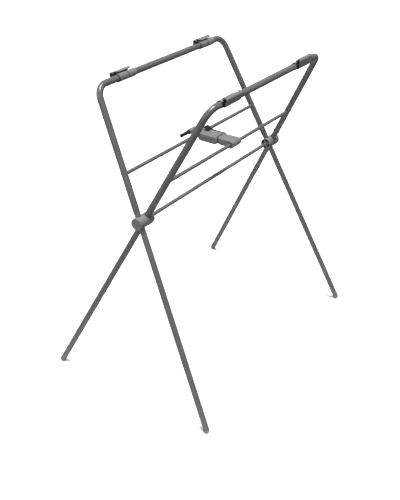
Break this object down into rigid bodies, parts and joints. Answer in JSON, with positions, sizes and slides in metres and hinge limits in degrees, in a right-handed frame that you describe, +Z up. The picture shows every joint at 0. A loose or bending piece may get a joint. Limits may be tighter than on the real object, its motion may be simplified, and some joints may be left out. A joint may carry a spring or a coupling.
{
  "type": "folding tub stand",
  "caption": "Folding stand for a tub: two crossed U-shaped tube frames on a hub axle, rim clips on the top bars and a hooked brace with a release lever.",
  "frame": {"origin": "centre of the footprint on the floor, which is Z = 0, below the hub axle", "axes": "+X along the hub axle from the near hub to the far hub, +Y from the front top bar to the back top bar, +Z up"},
  "size_m": [0.9706, 0.6232, 0.9947],
  "materials": {
    "tube_grey": "semi-gloss grey powder coat on steel tube",
    "moulded_grey": "matt moulded grey plastic",
    "soft_black": "matt black soft plastic",
    "steel": "plain zinc-plated steel"
  },
  "bodies": {
    "back_frame": {"axle_rod": "tube_grey", "back_cross_rod": "tube_grey", "back_far_foot": "moulded_grey", "back_far_leg": "tube_grey", "back_far_rivet": "steel", "back_near_foot": "moulded_grey", "back_near_leg": "tube_grey", "back_near_rivet": "steel", "back_upper_tube": "tube_grey", "far_axle_nut": "steel", "far_hub_back_housing": "moulded_grey", "near_axle_nut": "steel", "near_hub_back_housing": "moulded_grey", "near_hub_cap": "moulded_grey"},
    "front_frame": {"far_hub_cap": "moulded_grey", "far_hub_front_housing": "moulded_grey", "front_cross_rod": "tube_grey", "front_far_foot": "moulded_grey", "front_far_leg": "tube_grey", "front_far_rivet": "steel", "front_near_foot": "moulded_grey", "front_near_leg": "tube_grey", "front_near_rivet": "steel", "front_upper_tube": "tube_grey", "near_hub_front_housing": "moulded_grey"},
    "brace_front_arm": {"brace_front_arm": "moulded_grey"},
    "brace_rear_arm": {"brace_rear_arm": "moulded_grey", "elbow_pin": "steel", "grip_stub": "moulded_grey", "lever_pin": "steel", "lever_spring": "steel", "lift_grip": "soft_black"},
    "release_lever": {"release_lever": "soft_black"},
    "back_near_clip": {"back_near_clip_body": "moulded_grey", "back_near_clip_bush": "soft_black", "back_near_clip_clamp": "moulded_grey", "back_near_clip_pad": "soft_black"},
    "back_far_clip": {"back_far_clip_body": "moulded_grey", "back_far_clip_bush": "soft_black", "back_far_clip_clamp": "moulded_grey", "back_far_clip_pad": "soft_black"},
    "front_near_clip": {"front_near_clip_body": "moulded_grey", "front_near_clip_bush": "soft_black", "front_near_clip_clamp": "moulded_grey", "front_near_clip_pad": "soft_black"},
    "front_far_clip": {"front_far_clip_body": "moulded_grey", "front_far_clip_bush": "soft_black", "front_far_clip_clamp": "moulded_grey", "front_far_clip_pad": "soft_black"}
  },
  "joints": [
    {"name": "fold", "type": "hinge", "parent": "back_frame", "child": "front_frame", "pos_m": [0, 0, 0.608], "axis": [1, 0, 0], "range_deg": [-46.4, 0]},
    {"name": "brace_pivot", "type": "hinge", "parent": "front_frame", "child": "brace_front_arm", "pos_m": [0, -0.06641, 0.74004], "axis": [1, 0, 0], "range_deg": [0, 117]},
    {"name": "brace_elbow", "type": "hinge", "parent": "brace_front_arm", "child": "brace_rear_arm", "pos_m": [0, 0, 0.73884], "axis": [1, 0, 0], "range_deg": [0, 35]},
    {"name": "release_lever", "type": "hinge", "parent": "brace_rear_arm", "child": "release_lever", "pos_m": [0.036, 0.01759, 0.74204], "axis": [1, 0, 0], "range_deg": [-4.5, 0], "stiffness_Nm_per_rad": 0.08, "springref_deg": 5.73},
    {"name": "back_near_clip_swivel", "type": "hinge", "parent": "back_frame", "child": "back_near_clip", "pos_m": [-0.22365, 0.18368, 0.97321], "axis": [1, 0, 0], "range_deg": [-35, 35]},
    {"name": "back_far_clip_swivel", "type": "hinge", "parent": "back_frame", "child": "back_far_clip", "pos_m": [0.20385, 0.18368, 0.97321], "axis": [1, 0, 0], "range_deg": [-35, 35]},
    {"name": "front_near_clip_swivel", "type": "hinge", "parent": "front_frame", "child": "front_near_clip", "pos_m": [-0.22365, -0.18368, 0.97321], "axis": [1, 0, 0], "range_deg": [-35, 35]},
    {"name": "front_far_clip_swivel", "type": "hinge", "parent": "front_frame", "child": "front_far_clip", "pos_m": [0.20385, -0.18368, 0.97321], "axis": [1, 0, 0], "range_deg": [-35, 35]}
  ],
  "couplings": [
    {"joint": "brace_pivot", "follows": "fold", "ratio": -2.5151}
  ]
}
